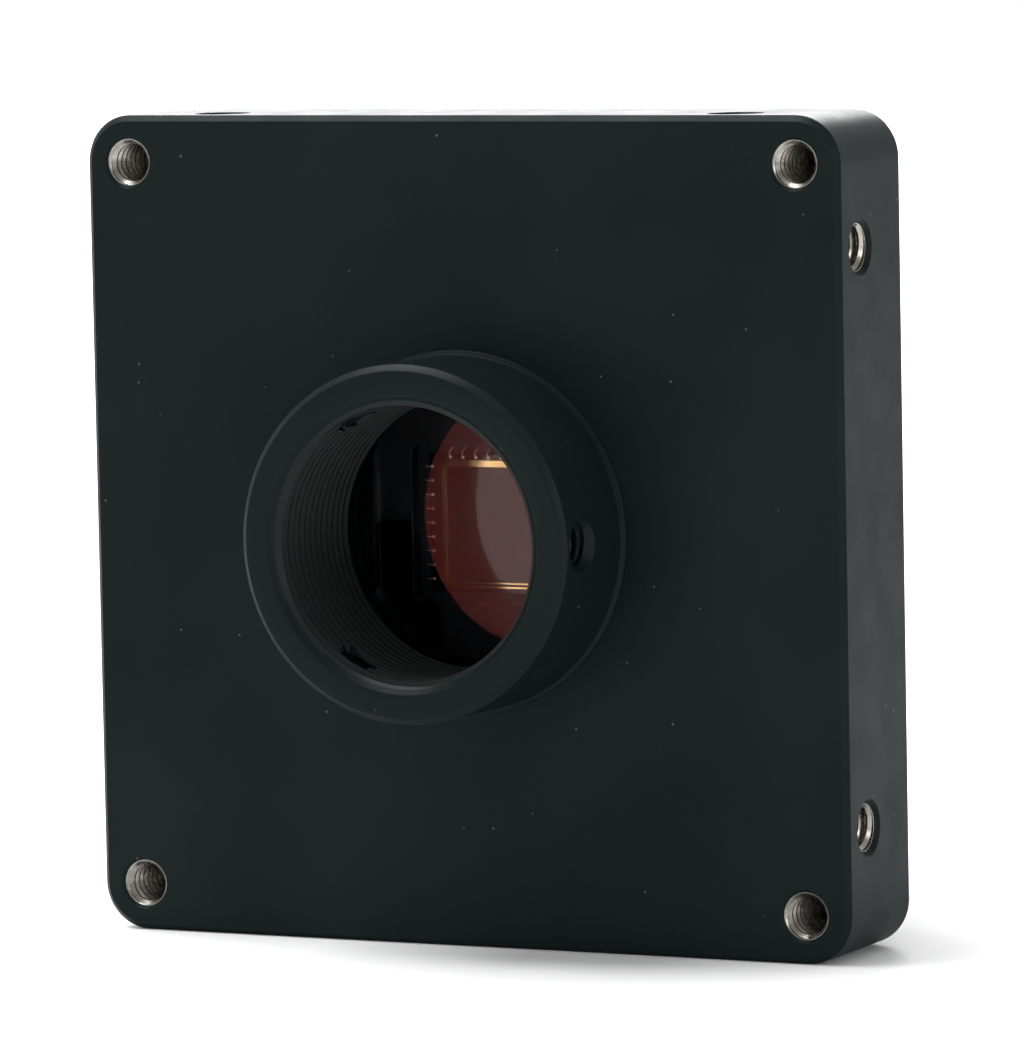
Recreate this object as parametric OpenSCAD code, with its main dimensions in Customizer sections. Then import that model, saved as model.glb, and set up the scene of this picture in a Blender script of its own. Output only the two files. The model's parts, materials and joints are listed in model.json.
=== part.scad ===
// Compact square camera head with an M12 x 0.5 lens ring and a rear cooler.
// +Z is up and -Y is the way the camera looks. The origin is where the lens
// axis meets the front face. Modules are drawn with +Z towards the lens and
// +Y up, and optical() turns them into that frame.

/* [Housing] */
// Width and height of the square front housing
body_w = 35; // [34.6:0.1:36]
// Depth of the housing from its front face to its rear edge
body_depth = 6.4; // [6.4:0.1:7]
// Radius of the four upright corners
corner_r = 2; // [1.6:0.1:2.4]
// Bevel along the front edges
edge_break = 0.25; // [0.1:0.05:0.4]
// Thickness of the front plate
plate_t = 3.4; // [3.2:0.1:3.6]
// Width and height of the pocket milled in from behind
pocket_w = 28; // [27.8:0.1:28.2]

/* [Lens ring] */
// Nominal diameter of the lens thread
thread_d = 12; // [12:0.01:12.1]
// Outer diameter of the ring
ring_d = 15; // [14.8:0.1:15.2]
// Height of the ring above the front face
ring_h = 5.6; // [5.2:0.1:6.4]
// Diameter of the thin foot that rests on the front face
foot_d = 15.4; // [15.3:0.05:15.6]
// Depth of the lens thread below the front face
thread_below = 1.3; // [1.2:0.05:1.4]
// Height of the lock screws above the front face
lock_h = 3.9; // [3:0.1:4]

/* [Threaded holes] */
// Nominal diameter of every mounting screw
mount_screw_d = 2; // [1.8:0.1:2.1]
// Distance between neighbouring corner holes
corner_pitch = 31; // [30.6:0.1:31.2]
// Distance between the two holes in each side
side_pitch = 24; // [23.6:0.1:24.4]
// Distance of the side holes behind the front face
side_hole_back = 2.1; // [1.8:0.1:2.2]

/* [Sensor] */
// Width and height of the sensor package
package_w = 12.2; // [11.8:0.1:12.4]
// Width of the silicon die
die_w = 6.8; // [6.4:0.1:7]
// Height of the silicon die
die_h = 5.9; // [5.6:0.1:6.2]
// Distance between neighbouring bond wires
bond_pitch = 0.6; // [0.6:0.05:0.65]

/* [Cooler] */
// Width and height of the thermoelectric module
peltier_w = 11; // [10.4:0.1:11.4]
// Width of the heat sink
sink_w = 20; // [20:0.1:20.4]
// Height of the fins behind the heat sink's base
fin_h = 3.8; // [3.4:0.1:4.4]
// Number of fins
fin_count = 7; // [5:1:9]
// Width and height of the fan frame
fan_w = 20; // [20:0.1:20.4]
// Depth of the fan frame
fan_depth = 6; // [6:0.1:6.6]
// Number of fan blades
blade_count = 7; // [5:1:9]
// Turn of the fan from its rest position, in degrees
fan_turn = 0; // [0:5:360]

/* [Hidden] */
$fn = 64;
e = 0.01;
// Levels along the lens axis, measured from the front face
ledge_z = -2.3;
board_z = -5.4;
board_t = 1;
board_back = board_z - board_t;
gasket_t = 0.3;
cover_front = -body_depth - gasket_t;
cover_depth = 4.2;
cover_back = cover_front - cover_depth;
cover_plate = 1.2;
cover_floor = cover_back + cover_plate;
pad_t = 0.2;
sink_front = cover_back - pad_t;
sink_base = 1.2;
fin_z = sink_front - sink_base;
fan_front = fin_z - fin_h;
fan_back = fan_front - fan_depth;
// Lens ring
thread_r = thread_d / 2;
ring_r = ring_d / 2;
foot_h = 0.22;
spigot_r = 7;
ring_bevel = 0.28;
lead_in = 0.23;
lock_angles = [0, 120, 240];
lock_r = 1;
lock_len = 1;
lock_inner = 6.1;
lock_tip = 0.15;
lock_socket_r = 0.52;
screw_gap = 0.05;
// Window over the sensor
filter_r = 6.9;
filter_t = 0.8;
seal_r = 6.25;
aperture_r = 6.4;
// Threaded holes
mount_r = mount_screw_d / 2;
mouth_bevel = 0.12;
corner_depth = 4.5;
side_depth = 3;
side_bevel = 0.2;
// Small screws inside and behind the housing
small_r = 0.8;
small_free_r = 0.9;
small_head_r = 1.45;
small_head_h = 0.9;
block_w = 3.2;
cover_tap = 3.4;
board_tap = 3;
sink_tap = 2.1;
post_tap = 3;
board_screw_len = 3;
cover_screw_len = 5.6;
sink_screw_len = 3.2;
cover_screw_at = 12.9;
cover_head_h = 1.6;
board_screw_x = 8.6;
board_screw_y = 11.9;
boss_r = 1.8;
// Sensor package
package_t = 1.2;
package_floor = 0.6;
cavity_w = 8.2;
cavity_h = 6.8;
die_t = 0.3;
lid_t = 0.5;
lid_w = 11.4;
bond_r = 0.025;
bond_rise = 0.12;
pad_rows = 9;
// Circuit board
board_w = 27.6;
notch_w = 3.4;
window_w = 8;
neck_w = 7.4;
chip_y = 9.6;
chip_h = 0.9;
processor_x = 2.6;
processor_w = 6.4;
memory_x = -4;
memory_w = 5;
memory_len = 5.6;
inductor_at = [3.6, -9];
inductor_w = 4.2;
inductor_r = 0.9;
inductor_h = 1.8;
capacitor_at = [-4.6, -8];
capacitor_step = 1.5;
capacitor_row = 2;
capacitor_w = 0.9;
capacitor_len = 1.3;
capacitor_h = 0.6;
// Cover
cover_w = 31;
cover_r = 1.8;
cover_wall = 1.2;
cover_bevel = 0.4;
opening_w = 18;
opening_h = 13;
// Data socket
socket_w = 8.94;
socket_t = 3.2;
socket_len = 7.3;
socket_back = 1;
socket_wall = 0.3;
tongue_t = 0.7;
tongue_w = 6.6;
tongue_back = 0.6;
// Thermoelectric module
ceramic_t = 0.5;
pellet_h = 1.2;
pellet_w = 1;
pellet_rows = 6;
hot_z = cover_back;
pellet_top = hot_z + ceramic_t;
cold_z = pellet_top + pellet_h;
finger_z = cold_z + ceramic_t;
finger_t = 1.2;
// Heat sink
sink_h = 27;
sink_screw_x = 6.5;
sink_screw_y = 11.7;
fin_t = 0.7;
post_r = 1.7;
fan_screw_bite = 2.4;
// Fan
fan_hole_at = 8;
duct_r = 9.4;
blade_r = 9;
blade_t = 0.5;
blade_pitch = 38;
blade_chord = 8;
blade_inset = 0.15;
hub_r = 4.4;
hub_wall = 0.4;
motor_r = 4.6;
motor_t = 0.8;
strut_w = 1.2;
strut_inset = 0.1;
tube_r = 1.6;
tube_bore = 1;
shaft_r = 0.5;
shaft_gap = 0.02;
tube_end = fan_front - 4.4;
stator_z = fan_front - 4.2;
stator_h = 3;
stator_r = 3.3;
core_r = 2.1;
shoe_t = 0.5;
shoe_w = 3.2;
coil_w = 1.2;
hub_front = fan_front - 1.2;
hub_back = fan_back + 0.4;
hub_top = 0.8;
// Leads
lead_r = 0.3;
lead_bend = 1;
fan_lead_x = -12.4;
fan_lead_y = -6.2;
lead_gap = 0.8;
fan_lead_z = fan_front - 0.4;
peltier_lead_x = 8;
header_h = 1.6;
lead_notch = lead_gap + 2 * lead_r + 0.1;
header_w = 2.2;
header_len = 2.6;
grommet_r = 1.3;
grommet_lip = 1.6;
lip_t = 0.4;

// ---- shared shapes ----

// Turns a shape drawn along the lens axis into the part's own frame
module optical() rotate([90, 0, 0]) children();

// Repeats a shape at the four corners of a rectangle
module four_corners(x, y) {
    for (sx = [-1, 1], sy = [-1, 1])
        translate([sx * x, sy * y, 0]) children();
}

// Flat plate with round corners, from height z up by t
module round_plate(w, h, r, z, t) {
    translate([0, 0, z]) linear_extrude(t) {
        square([w - 2 * r, h], center = true);
        square([w, h - 2 * r], center = true);
        four_corners(w / 2 - r, h / 2 - r) circle(r);
    }
}

// Bar along X whose upper edges are bevelled by c
module bevel_bar(length, width, c) {
    rotate([90, 0, 90]) linear_extrude(length, center = true)
        polygon([[-width / 2, 0], [width / 2, 0],
                 [width / 2 - c, c], [-width / 2 + c, c]]);
}

// Bevelled cap on a square plate with round corners, drawn upwards from z = 0
module bevel_cap(w, r, c) {
    bevel_bar(w - 2 * r, w, c);
    rotate([0, 0, 90]) bevel_bar(w - 2 * r, w, c);
    four_corners(w / 2 - r, w / 2 - r) cylinder(h = c, r1 = r, r2 = r - c);
}

// Round rod from height z up by h
module rod(r, z, h) translate([0, 0, z]) cylinder(h = h, r = r);

// Flat ring from height z up by h
module washer(outer, inner, z, h) {
    translate([0, 0, z]) linear_extrude(h) difference() {
        circle(outer);
        circle(inner);
    }
}

// Block centred on the lens axis, from height z up by h
module block(w, d, z, h) {
    translate([-w / 2, -d / 2, z]) cube([w, d, h]);
}

// Tapped blind hole cut down from z = 0, with a bevelled mouth
module tapped_hole(r, depth, bevel) {
    rod(r, -depth, depth + e);
    translate([0, 0, -bevel]) cylinder(h = bevel + e, r1 = r, r2 = r + bevel + e);
}

// Cap screw seen from behind: its head rises from z = 0 to -head_h
module small_screw(length, head_r, head_h) {
    difference() {
        union() {
            rod(small_r - screw_gap, 0, length);
            rod(head_r, -head_h, head_h);
        }
        translate([0, 0, -head_h - e])
            cylinder(h = head_h * 0.6, r = head_r * 0.5, $fn = 6);
    }
}

// Quarter bend of a lead from the +Z direction to the -X direction
module quarter_bend() {
    rotate([90, 0, 0]) rotate_extrude(angle = 90)
        translate([lead_bend, 0]) circle(lead_r, $fn = 24);
}

// ---- housing and lens ring ----

module housing_outer() {
    rear_break = 0.15;
    round_plate(body_w, body_w, corner_r, -body_depth + rear_break,
                body_depth - rear_break - edge_break);
    translate([0, 0, -edge_break]) bevel_cap(body_w, corner_r, edge_break);
    translate([0, 0, -body_depth + rear_break]) mirror([0, 0, 1])
        bevel_cap(body_w, corner_r, rear_break);
}

// Square pocket that leaves a solid block in each corner
module housing_pocket() {
    h = body_depth - plate_t + e;
    inner = pocket_w - 2 * block_w;
    block(pocket_w, inner, -plate_t - h + e, h);
    block(inner, pocket_w, -plate_t - h + e, h);
}

module side_holes() {
    for (a = [0:90:270]) rotate([0, 0, a]) for (s = [-1, 1])
        translate([body_w / 2, s * side_pitch / 2, -side_hole_back])
            rotate([0, 90, 0]) tapped_hole(mount_r, side_depth, side_bevel);
}

module front_housing() color([0.07, 0.08, 0.08]) optical() difference() {
    union() {
        difference() {
            housing_outer();
            housing_pocket();
        }
        four_corners(board_screw_x, board_screw_y)
            rod(boss_r, board_z, -plate_t - board_z + e);
    }
    rod(spigot_r, ledge_z, plate_t);
    rod(aperture_r, -plate_t - 1, plate_t);
    four_corners(corner_pitch / 2, corner_pitch / 2)
        tapped_hole(mount_r, corner_depth, mouth_bevel);
    side_holes();
    four_corners(cover_screw_at, cover_screw_at)
        rod(small_r, -body_depth - e, cover_tap);
    four_corners(board_screw_x, board_screw_y) rod(small_r, board_z - e, board_tap);
}

module ring_profile() {
    polygon([
        [thread_r, -thread_below], [spigot_r, -thread_below], [spigot_r, 0],
        [foot_d / 2, 0], [foot_d / 2, foot_h * 0.5], [ring_r, foot_h],
        [ring_r, ring_h - ring_bevel], [ring_r - ring_bevel, ring_h],
        [thread_r + lead_in, ring_h], [thread_r, ring_h - lead_in]
    ]);
}

module lens_ring() color([0.06, 0.065, 0.065]) optical() difference() {
    rotate_extrude($fn = 128) ring_profile();
    for (a = lock_angles) rotate([0, 0, a]) translate([ring_r, 0, lock_h])
        rotate([0, 90, 0]) tapped_hole(lock_r, ring_r - thread_r + 1, side_bevel);
}

// Headless screw with a hexagon socket in its outer end
module lock_screw(angle) color([0.1, 0.1, 0.1]) optical() {
    rotate([0, 0, angle]) translate([lock_inner, 0, lock_h])
        rotate([0, 90, 0]) difference() {
            union() {
                rod(lock_r - screw_gap, lock_tip, lock_len - lock_tip);
                cylinder(h = lock_tip, r1 = lock_r - lock_tip - 0.1, r2 = lock_r - screw_gap);
            }
            rotate([0, 0, 30]) translate([0, 0, lock_len * 0.45])
                cylinder(h = lock_len, r = lock_socket_r, $fn = 6);
        }
}

module lock_screw_right() lock_screw(lock_angles[0]);
module lock_screw_upper() lock_screw(lock_angles[1]);
module lock_screw_lower() lock_screw(lock_angles[2]);

// ---- window and sensor ----

module filter_seal() color([0.03, 0.03, 0.03]) optical()
    washer(filter_r, seal_r, ledge_z + filter_t, -thread_below - ledge_z - filter_t);

module ir_cut_filter() color([0.6, 0.2, 0.2, 0.5]) optical()
    rod(filter_r, ledge_z, filter_t);

module sensor_lid() color([0.8, 0.9, 0.9, 0.4]) optical()
    block(lid_w, lid_w, board_z + package_t, lid_t);

module sensor_package() color([0.09, 0.08, 0.08]) optical() difference() {
    block(package_w, package_w, board_z, package_t);
    round_plate(cavity_w, cavity_h, 0.5, board_z + package_floor, package_t);
}

module sensor_die() color([0.3, 0.25, 0.3]) optical()
    block(die_w, die_h, board_z + package_floor, die_t);

// Square gold stitch that rises from the package, crosses and meets the die
module bond_stitch(run) {
    post = board_z + package_floor;
    top = post + die_t + bond_rise;
    w = bond_r * 2;
    translate([0, -bond_r, post]) cube([w, w, top - post]);
    translate([0, -bond_r, top - w]) cube([run, w, w]);
    translate([run - w, -bond_r, post + die_t]) cube([w, w, top - post - die_t]);
}

// Rows of stitches along both sides and the top of the die
module bond_wires() color([0.9, 0.7, 0.3]) optical() {
    run = 0.45;
    out = 0.3;
    first = -(pad_rows - 1) / 2 * bond_pitch;
    for (i = [0:pad_rows - 1]) {
        for (side = [0, 180]) rotate([0, 0, side])
            translate([-die_w / 2 - out, first + i * bond_pitch, 0]) bond_stitch(run);
        rotate([0, 0, 270])
            translate([-die_h / 2 - out, first + i * bond_pitch, 0]) bond_stitch(run);
    }
}

// ---- circuit board ----

module sensor_board() color([0.05, 0.2, 0.12]) optical() difference() {
    block(board_w, board_w, board_back, board_t);
    four_corners(board_w / 2, board_w / 2)
        block(notch_w * 2, notch_w * 2, board_back - 1, board_t + 2);
    block(window_w, window_w, board_back - 1, board_t + 2);
    four_corners(board_screw_x, board_screw_y)
        rod(small_free_r, board_back - 1, board_t + 2);
}

module board_screws() color([0.75, 0.75, 0.72]) optical()
    four_corners(board_screw_x, board_screw_y) translate([0, 0, board_back])
        small_screw(board_screw_len, small_head_r, small_head_h);

module image_processor() color([0.06, 0.06, 0.07]) optical()
    translate([processor_x, chip_y, 0])
        block(processor_w, processor_w, board_back - chip_h, chip_h);

module memory_chip() color([0.07, 0.07, 0.08]) optical()
    translate([memory_x, chip_y, 0])
        block(memory_w, memory_len, board_back - chip_h, chip_h);

module power_inductor() color([0.2, 0.2, 0.2]) optical()
    translate(inductor_at)
        round_plate(inductor_w, inductor_w, inductor_r, board_back - inductor_h, inductor_h);

// Two rows of small ceramic blocks beside the inductor
module board_capacitors() color([0.6, 0.5, 0.4]) optical() {
    for (i = [0:3], row = [0, 1])
        translate(capacitor_at + [i * capacitor_step, -row * capacitor_row])
            block(capacitor_w, capacitor_len, board_back - capacitor_h, capacitor_h);
}

// Two-way wire socket on the rear of the board
module wire_header(x, y) {
    translate([x, y, 0]) difference() {
        block(header_w, header_len, board_back - header_h, header_h);
        for (s = [-1, 1]) translate([0, s * lead_gap / 2, 0])
            rod(lead_r, board_back - header_h - e, 1);
    }
}

module fan_header() color([0.85, 0.83, 0.76]) optical()
    wire_header(fan_lead_x, fan_lead_y);

module cooler_header() color([0.85, 0.83, 0.76]) optical()
    wire_header(peltier_lead_x, 0);

// Stadium outline of the data socket, seen into its mouth
module socket_outline(shrink) {
    t = socket_t - 2 * shrink;
    w = socket_w - 2 * shrink;
    square([t, w - t], center = true);
    for (s = [-1, 1]) translate([0, s * (w - t) / 2]) circle(t / 2);
}

// Places a shape drawn up from the socket's mouth, which faces -X
module at_socket() {
    translate([-cover_w / 2, 0, board_back - socket_t / 2])
        rotate([0, 90, 0]) children();
}

module usb_shell() color([0.72, 0.72, 0.74]) optical() at_socket() difference() {
    linear_extrude(socket_len) socket_outline(0);
    translate([0, 0, -e]) linear_extrude(socket_len - socket_back) socket_outline(socket_wall);
}

module usb_tongue() color([0.08, 0.08, 0.08]) optical() at_socket()
    translate([-tongue_t / 2, -tongue_w / 2, tongue_back])
        cube([tongue_t, tongue_w, socket_len - socket_back - tongue_back - e]);

// ---- cooler ----

module finger_insulation() color([0.2, 0.2, 0.22]) optical() difference() {
    block(peltier_w, peltier_w, finger_z + finger_t, board_back - finger_z - finger_t);
    block(neck_w, neck_w, finger_z, board_back);
    block(neck_w, neck_w, finger_z, body_depth);
}

module cold_finger() color([0.85, 0.5, 0.35]) optical() {
    block(neck_w, neck_w, finger_z, board_z - finger_z);
    block(peltier_w, peltier_w, finger_z, finger_t);
}

module peltier_cold_plate() color([0.92, 0.92, 0.9]) optical()
    block(peltier_w, peltier_w, cold_z, ceramic_t);

module peltier_pellets() color([0.35, 0.35, 0.38]) optical() {
    step = (peltier_w - pellet_w - 0.6) / (pellet_rows - 1);
    for (i = [0:pellet_rows - 1], j = [0:pellet_rows - 1])
        translate([(i - (pellet_rows - 1) / 2) * step, (j - (pellet_rows - 1) / 2) * step, 0])
            block(pellet_w, pellet_w, pellet_top, pellet_h);
}

module peltier_hot_plate() color([0.92, 0.92, 0.9]) optical()
    block(peltier_w, peltier_w, hot_z, ceramic_t);

// Two leads that leave the hot plate sideways and turn down to the board
module peltier_leads() color([0.7, 0.1, 0.08]) optical() {
    z = pellet_top + lead_r + 0.1;
    start = peltier_w / 2;
    for (s = [-1, 1]) translate([0, s * lead_gap / 2, 0]) {
        translate([start, 0, z]) rotate([0, 90, 0])
            cylinder(h = peltier_lead_x - lead_bend - start, r = lead_r, $fn = 24);
        translate([peltier_lead_x - lead_bend, 0, z + lead_bend])
            mirror([0, 0, 1]) quarter_bend();
        translate([peltier_lead_x, 0, z + lead_bend])
            cylinder(h = board_back - header_h + 0.8 - z - lead_bend, r = lead_r, $fn = 24);
    }
}

module thermal_pad() color([0.7, 0.7, 0.72]) optical()
    block(peltier_w, peltier_w, sink_front, pad_t);

// ---- rear cover ----

// Cavity of the cover: a square that leaves a post in each corner
module cover_cavity(z, h) {
    w = cover_w - 2 * cover_wall;
    inner = 2 * (cover_screw_at - 2.1);
    block(w, inner, z, h);
    block(inner, w, z, h);
}

module cover_gasket() color([0.04, 0.04, 0.04]) optical() difference() {
    round_plate(cover_w, cover_w, cover_r, cover_front, gasket_t);
    cover_cavity(cover_front - 1, gasket_t + 2);
    four_corners(cover_screw_at, cover_screw_at)
        rod(small_free_r, cover_front - 1, gasket_t + 2);
    socket_gap();
}

// Room for the data socket in the left wall
module socket_gap() {
    translate([-cover_w / 2 - 1, -socket_w / 2 - 0.1, board_back - socket_t - 0.1])
        cube([cover_wall + 2, socket_w + 0.2, socket_t + 0.2]);
}

module rear_cover() color([0.1, 0.11, 0.11]) optical() difference() {
    union() {
        difference() {
            union() {
                round_plate(cover_w, cover_w, cover_r, cover_back + cover_bevel,
                            cover_depth - cover_bevel);
                translate([0, 0, cover_back + cover_bevel]) mirror([0, 0, 1])
                    bevel_cap(cover_w, cover_r, cover_bevel);
            }
            cover_cavity(cover_floor, cover_depth);
        }
        four_corners(sink_screw_x, sink_screw_y) rod(boss_r, cover_floor - e, 1.2);
    }
    socket_gap();
    block(opening_w, opening_h, cover_back - 1, cover_plate + 2);
    four_corners(cover_screw_at, cover_screw_at) {
        rod(small_free_r, cover_back - 1, cover_depth + 2);
        rod(small_head_r + 0.15, cover_back - e, cover_head_h + e);
    }
    four_corners(sink_screw_x, sink_screw_y) rod(small_r, cover_back - e, sink_tap);
    translate([fan_lead_x, fan_lead_y, 0]) rod(grommet_r, cover_back - 1, cover_plate + 2);
}

module cover_screws() color([0.12, 0.12, 0.12]) optical()
    four_corners(cover_screw_at, cover_screw_at) translate([0, 0, cover_back + cover_head_h])
        small_screw(cover_screw_len, small_head_r, cover_head_h - 0.1);

// Rubber bush with a lip on both sides of the cover
module lead_grommet() color([0.03, 0.03, 0.03]) optical()
    translate([fan_lead_x, fan_lead_y, 0]) difference() {
        union() {
            rod(grommet_r, cover_back, cover_plate);
            rod(grommet_lip, cover_back - lip_t, lip_t);
            rod(grommet_lip, cover_floor, lip_t);
        }
        for (s = [-1, 1]) translate([0, s * lead_gap / 2, 0])
            rod(lead_r, cover_back - 1, cover_plate + 2);
    }

// ---- heat sink ----

module sink_gasket() color([0.75, 0.75, 0.72]) optical() difference() {
    block(sink_w, sink_h, sink_front, pad_t);
    block(opening_w, opening_h, sink_front - 1, pad_t + 2);
    four_corners(sink_screw_x, sink_screw_y)
        rod(small_free_r, sink_front - 1, pad_t + 2);
}

module heat_sink() color([0.55, 0.56, 0.58]) optical() difference() {
    union() {
        block(sink_w, sink_h, fin_z, sink_base);
        for (i = [0:fin_count - 1])
            translate([(i - (fin_count - 1) / 2) * (sink_w - fin_t) / (fin_count - 1), 0, 0])
                block(fin_t, fan_w, fan_front, fin_h + e);
        four_corners(fan_hole_at, fan_hole_at) rod(post_r, fan_front, fin_h + e);
    }
    four_corners(sink_screw_x, sink_screw_y)
        rod(small_free_r, fin_z - 1, sink_base + 2);
    four_corners(fan_hole_at, fan_hole_at) rod(small_r, fan_front - e, post_tap);
}

module sink_screws() color([0.75, 0.75, 0.72]) optical()
    four_corners(sink_screw_x, sink_screw_y) translate([0, 0, fin_z])
        small_screw(sink_screw_len, small_head_r, small_head_h);

// ---- fan ----

module fan_frame() color([0.05, 0.05, 0.055]) optical() difference() {
    union() {
        difference() {
            round_plate(fan_w, fan_w, 1.6, fan_back, fan_depth);
            rod(duct_r, fan_back - 1, fan_depth + 2);
        }
        rod(motor_r, fan_front - motor_t, motor_t);
        for (a = [90, 210, 330]) rotate([0, 0, a])
            translate([motor_r - 1, -strut_w / 2, fan_front - motor_t + strut_inset])
                cube([duct_r - motor_r + 1.2, strut_w, motor_t - 2 * strut_inset]);
        rod(tube_r, tube_end, fan_front - tube_end - e);
    }
    rod(tube_bore, tube_end - 1, fan_front - tube_end - 0.3 + 1);
    four_corners(fan_hole_at, fan_hole_at) rod(1, fan_back - 1, fan_depth + 2);
    translate([-fan_w / 2 - e, fan_lead_y - lead_notch / 2, fan_lead_z - lead_r - 0.05])
        cube([1.2, lead_notch, lead_notch]);
}

module fan_bearing() color([0.72, 0.55, 0.3]) optical()
    washer(tube_bore, shaft_r + shaft_gap, tube_end, fan_front - tube_end - 0.8);

// Four wound poles around the bearing tube
module fan_stator() color([0.72, 0.4, 0.2]) optical() {
    inner = core_r - 0.1;
    washer(core_r, tube_r, stator_z, stator_h);
    for (a = [45:90:315]) rotate([0, 0, a]) {
        translate([inner, -coil_w / 2, stator_z + 0.5])
            cube([stator_r - shoe_t + 0.1 - inner, coil_w, stator_h - 1]);
        intersection() {
            washer(stator_r, stator_r - shoe_t, stator_z, stator_h);
            translate([inner, -shoe_w / 2, stator_z]) cube([stator_r, shoe_w, stator_h]);
        }
    }
}

module turned() rotate([0, 0, fan_turn]) children();

// Cup-shaped hub with a boss for the shaft and pitched blades
module fan_impeller() color([0.06, 0.06, 0.065]) optical() turned() {
    difference() {
        rod(hub_r, hub_back, hub_front - hub_back);
        rod(hub_r - hub_wall, hub_back + hub_top, fan_depth);
        rod(shaft_r, hub_back + 0.2, fan_depth);
    }
    for (i = [0:blade_count - 1]) rotate([0, 0, i * 360 / blade_count]) fan_blade();
}

// One pitched blade, cut off round at its tip and at the hub
module fan_blade() {
    mid = (hub_front + hub_back) / 2;
    intersection() {
        translate([hub_r - 1, 0, mid]) rotate([blade_pitch, 0, 0])
            translate([0, -blade_chord / 2, -blade_t / 2])
                cube([blade_r, blade_chord, blade_t]);
        washer(blade_r, hub_r - hub_wall / 2, hub_back + blade_inset,
               hub_front - hub_back - 2 * blade_inset);
    }
}

module fan_shaft() color([0.8, 0.8, 0.82]) optical()
    rod(shaft_r, hub_back + 0.2, fan_front - 0.9 - hub_back - 0.2);

module rotor_magnet() color([0.25, 0.25, 0.26]) optical()
    washer(hub_r - hub_wall, 3.5, hub_back + hub_top + 0.2, 3.2);

// Two leads from the motor plate's notch, forward through the cover
module fan_leads() color([0.6, 0.08, 0.06]) optical() {
    start = -fan_w / 2 + 1.1;
    for (s = [-1, 1]) translate([0, fan_lead_y + s * lead_gap / 2, 0]) {
        translate([fan_lead_x + lead_bend, 0, fan_lead_z]) rotate([0, 90, 0])
            cylinder(h = start - fan_lead_x - lead_bend, r = lead_r, $fn = 24);
        translate([fan_lead_x + lead_bend, 0, fan_lead_z + lead_bend])
            rotate([0, 0, 180]) mirror([0, 0, 1]) quarter_bend();
        translate([fan_lead_x, 0, fan_lead_z + lead_bend])
            cylinder(h = board_back - header_h + 0.8 - fan_lead_z - lead_bend,
                     r = lead_r, $fn = 24);
    }
}

module fan_screws() color([0.75, 0.75, 0.72]) optical()
    four_corners(fan_hole_at, fan_hole_at) translate([0, 0, fan_back])
        small_screw(fan_depth + fan_screw_bite, small_head_r, small_head_h);

front_housing();
lens_ring();
lock_screw_right();
lock_screw_upper();
lock_screw_lower();
filter_seal();
ir_cut_filter();
sensor_lid();
sensor_package();
sensor_die();
bond_wires();
sensor_board();
board_screws();
image_processor();
memory_chip();
power_inductor();
board_capacitors();
fan_header();
cooler_header();
usb_shell();
usb_tongue();
finger_insulation();
cold_finger();
peltier_cold_plate();
peltier_pellets();
peltier_hot_plate();
peltier_leads();
thermal_pad();
cover_gasket();
rear_cover();
cover_screws();
sink_gasket();
heat_sink();
sink_screws();
lead_grommet();
fan_frame();
fan_bearing();
fan_stator();
fan_leads();
fan_screws();
fan_impeller();
fan_shaft();
rotor_magnet();
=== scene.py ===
"""Looks of a small square camera head with a threaded lens ring and a rear cooler.

Pieces are drawn in millimetres in the lens frame, where +Z runs out through the lens ring and +Y is
up, and TO_FRAME turns them into the part's frame, where -Y is the way that the camera looks.
"""

import json
import math

import bmesh
import bpy
from mathutils import Matrix, Vector

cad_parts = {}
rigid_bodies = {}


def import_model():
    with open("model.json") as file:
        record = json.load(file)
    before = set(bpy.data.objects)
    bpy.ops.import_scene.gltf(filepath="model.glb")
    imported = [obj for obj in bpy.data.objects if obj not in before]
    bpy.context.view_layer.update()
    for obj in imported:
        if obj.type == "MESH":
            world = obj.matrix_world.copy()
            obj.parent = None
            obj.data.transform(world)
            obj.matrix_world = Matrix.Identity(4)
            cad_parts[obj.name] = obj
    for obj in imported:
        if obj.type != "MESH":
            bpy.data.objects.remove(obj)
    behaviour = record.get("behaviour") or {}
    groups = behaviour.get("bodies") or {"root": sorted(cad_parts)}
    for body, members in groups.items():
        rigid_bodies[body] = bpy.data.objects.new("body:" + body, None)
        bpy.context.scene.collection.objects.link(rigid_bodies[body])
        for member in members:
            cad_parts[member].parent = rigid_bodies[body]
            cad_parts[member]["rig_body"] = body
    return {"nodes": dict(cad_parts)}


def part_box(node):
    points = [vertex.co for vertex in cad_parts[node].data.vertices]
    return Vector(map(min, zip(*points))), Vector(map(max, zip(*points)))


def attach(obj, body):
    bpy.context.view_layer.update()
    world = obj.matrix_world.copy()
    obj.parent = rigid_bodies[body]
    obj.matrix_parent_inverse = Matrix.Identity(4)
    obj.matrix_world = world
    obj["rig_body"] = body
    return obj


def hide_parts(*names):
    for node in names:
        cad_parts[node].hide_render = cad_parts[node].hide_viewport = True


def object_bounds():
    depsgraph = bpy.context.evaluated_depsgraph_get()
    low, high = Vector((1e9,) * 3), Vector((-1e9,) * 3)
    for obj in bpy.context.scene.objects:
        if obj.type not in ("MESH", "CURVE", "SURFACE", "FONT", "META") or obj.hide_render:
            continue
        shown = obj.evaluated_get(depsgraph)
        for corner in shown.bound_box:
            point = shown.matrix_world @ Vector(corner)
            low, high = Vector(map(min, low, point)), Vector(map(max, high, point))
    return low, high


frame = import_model()
cad_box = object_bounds()

MM = 0.001
TAU = 2 * math.pi
TO_FRAME = Matrix.Rotation(math.radians(90), 4, "X") @ Matrix.Scale(MM, 4)
BODY = "camera_body"
SMOOTH_ANGLE = 12
NEAR = 0.01


def node_box(node):
    """Lowest and highest corner of a CAD node in the lens frame, in millimetres."""
    lo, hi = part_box(node)
    return (Vector((lo.x, lo.z, -hi.y)) / MM, Vector((hi.x, hi.z, -lo.y)) / MM)


# ---- materials ----


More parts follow.
